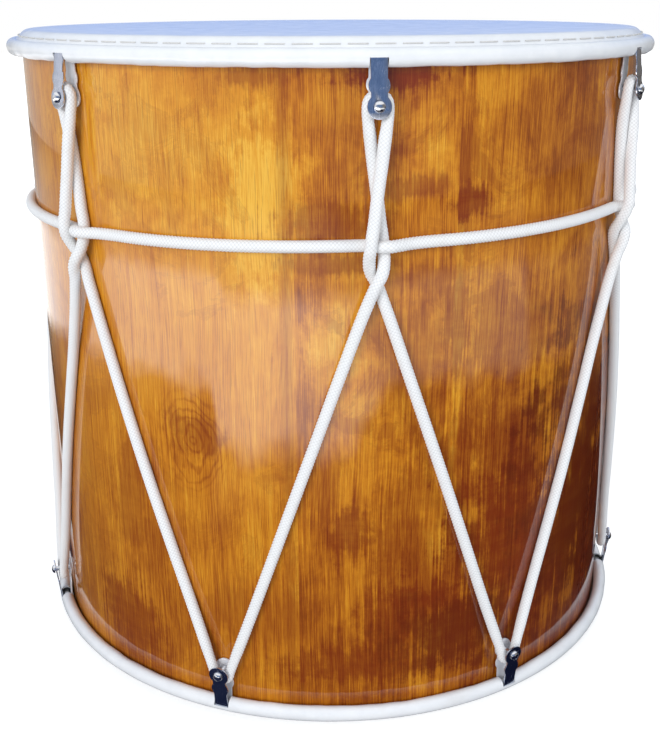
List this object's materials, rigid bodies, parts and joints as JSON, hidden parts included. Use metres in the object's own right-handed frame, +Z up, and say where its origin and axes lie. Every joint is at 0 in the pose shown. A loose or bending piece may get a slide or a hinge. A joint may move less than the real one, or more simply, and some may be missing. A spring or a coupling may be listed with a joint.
{
  "type": "rope-laced drum",
  "caption": "Double-headed cylindrical drum with a lacquered wood shell, white heads on steel rings, and cord lacing on riveted clips, tuned by a sliding belt cord.",
  "frame": {"origin": "on the drum's axis, in the flat face of the lower head that it stands on", "axes": "+Z up along the drum's axis, -Y towards the viewer of the picture, +X to the viewer's right"},
  "size_m": [0.3523, 0.3614, 0.332],
  "materials": {
    "shell_veneer": "glossy lacquer over honey to red-brown veneer",
    "bare_wood": "bare",
    "head_skin": "smooth white coated skin, satin",
    "ring_steel": "plain drawn wire",
    "clip_steel": "bright plated strip",
    "cord": "white braided cord"
  },
  "bodies": {
    "drum": {"shell": "shell_veneer", "lower_stiffener": "bare_wood", "upper_stiffener": "bare_wood", "upper_head": "head_skin", "upper_ring": "ring_steel", "lower_head": "head_skin", "lower_ring": "ring_steel", "lacing": "cord"},
    "belt": {"belt": "cord"},
    "upper_clip_1_body": {"upper_clip_1": "clip_steel", "upper_rivet_1": "clip_steel"},
    "upper_clip_2_body": {"upper_clip_2": "clip_steel", "upper_rivet_2": "clip_steel"},
    "upper_clip_3_body": {"upper_clip_3": "clip_steel", "upper_rivet_3": "clip_steel"},
    "upper_clip_4_body": {"upper_clip_4": "clip_steel", "upper_rivet_4": "clip_steel"},
    "upper_clip_5_body": {"upper_clip_5": "clip_steel", "upper_rivet_5": "clip_steel"},
    "upper_clip_6_body": {"upper_clip_6": "clip_steel", "upper_rivet_6": "clip_steel"},
    "upper_clip_7_body": {"upper_clip_7": "clip_steel", "upper_rivet_7": "clip_steel"},
    "lower_clip_1_body": {"lower_clip_1": "clip_steel", "lower_rivet_1": "clip_steel"},
    "lower_clip_2_body": {"lower_clip_2": "clip_steel", "lower_rivet_2": "clip_steel"},
    "lower_clip_3_body": {"lower_clip_3": "clip_steel", "lower_rivet_3": "clip_steel"},
    "lower_clip_4_body": {"lower_clip_4": "clip_steel", "lower_rivet_4": "clip_steel"},
    "lower_clip_5_body": {"lower_clip_5": "clip_steel", "lower_rivet_5": "clip_steel"},
    "lower_clip_6_body": {"lower_clip_6": "clip_steel", "lower_rivet_6": "clip_steel"},
    "lower_clip_7_body": {"lower_clip_7": "clip_steel", "lower_rivet_7": "clip_steel"}
  },
  "joints": [
    {"name": "belt_slide", "type": "slide", "parent": "drum", "child": "belt", "axis": [0, 0, 1], "range_m": [-0.03, 0.02], "deforming": ["lacing"]},
    {"name": "upper_clip_1_swing", "type": "hinge", "parent": "drum", "child": "upper_clip_1_body", "pos_m": [0.0194, -0.16771, 0.3238], "axis": [-0.9934, -0.1149, 0], "range_deg": [-1, 2.5]},
    {"name": "upper_clip_2_swing", "type": "hinge", "parent": "drum", "child": "upper_clip_2_body", "pos_m": [0.14322, -0.08939, 0.3238], "axis": [-0.5295, -0.8483, 0], "range_deg": [-1, 2.5]},
    {"name": "upper_clip_3_swing", "type": "hinge", "parent": "drum", "child": "upper_clip_3_body", "pos_m": [0.15918, 0.05624, 0.3238], "axis": [0.3331, -0.9429, 0], "range_deg": [-1, 2.5]},
    {"name": "upper_clip_4_swing", "type": "hinge", "parent": "drum", "child": "upper_clip_4_body", "pos_m": [0.05528, 0.15952, 0.3238], "axis": [0.9449, -0.3275, 0], "range_deg": [-1, 2.5]},
    {"name": "upper_clip_5_swing", "type": "hinge", "parent": "drum", "child": "upper_clip_5_body", "pos_m": [-0.09025, 0.14268, 0.3238], "axis": [0.8451, 0.5346, 0], "range_deg": [-1, 2.5]},
    {"name": "upper_clip_6_swing", "type": "hinge", "parent": "drum", "child": "upper_clip_6_body", "pos_m": [-0.16782, 0.0184, 0.3238], "axis": [0.109, 0.994, 0], "range_deg": [-1, 2.5]},
    {"name": "upper_clip_7_swing", "type": "hinge", "parent": "drum", "child": "upper_clip_7_body", "pos_m": [-0.11902, -0.11973, 0.3238], "axis": [-0.7092, 0.705, 0], "range_deg": [-1, 2.5]},
    {"name": "lower_clip_1_swing", "type": "hinge", "parent": "drum", "child": "lower_clip_1_body", "pos_m": [0.09025, -0.14268, 0.0082], "axis": [0.8451, 0.5346, 0], "range_deg": [-1, 2.5]},
    {"name": "lower_clip_2_swing", "type": "hinge", "parent": "drum", "child": "lower_clip_2_body", "pos_m": [0.16782, -0.0184, 0.0082], "axis": [0.109, 0.994, 0], "range_deg": [-1, 2.5]},
    {"name": "lower_clip_3_swing", "type": "hinge", "parent": "drum", "child": "lower_clip_3_body", "pos_m": [0.11902, 0.11973, 0.0082], "axis": [-0.7092, 0.705, 0], "range_deg": [-1, 2.5]},
    {"name": "lower_clip_4_swing", "type": "hinge", "parent": "drum", "child": "lower_clip_4_body", "pos_m": [-0.0194, 0.16771, 0.0082], "axis": [-0.9934, -0.1149, 0], "range_deg": [-1, 2.5]},
    {"name": "lower_clip_5_swing", "type": "hinge", "parent": "drum", "child": "lower_clip_5_body", "pos_m": [-0.14322, 0.08939, 0.0082], "axis": [-0.5295, -0.8483, 0], "range_deg": [-1, 2.5]},
    {"name": "lower_clip_6_swing", "type": "hinge", "parent": "drum", "child": "lower_clip_6_body", "pos_m": [-0.15918, -0.05624, 0.0082], "axis": [0.3331, -0.9429, 0], "range_deg": [-1, 2.5]},
    {"name": "lower_clip_7_swing", "type": "hinge", "parent": "drum", "child": "lower_clip_7_body", "pos_m": [-0.05528, -0.15952, 0.0082], "axis": [0.9449, -0.3275, 0], "range_deg": [-1, 2.5]}
  ]
}
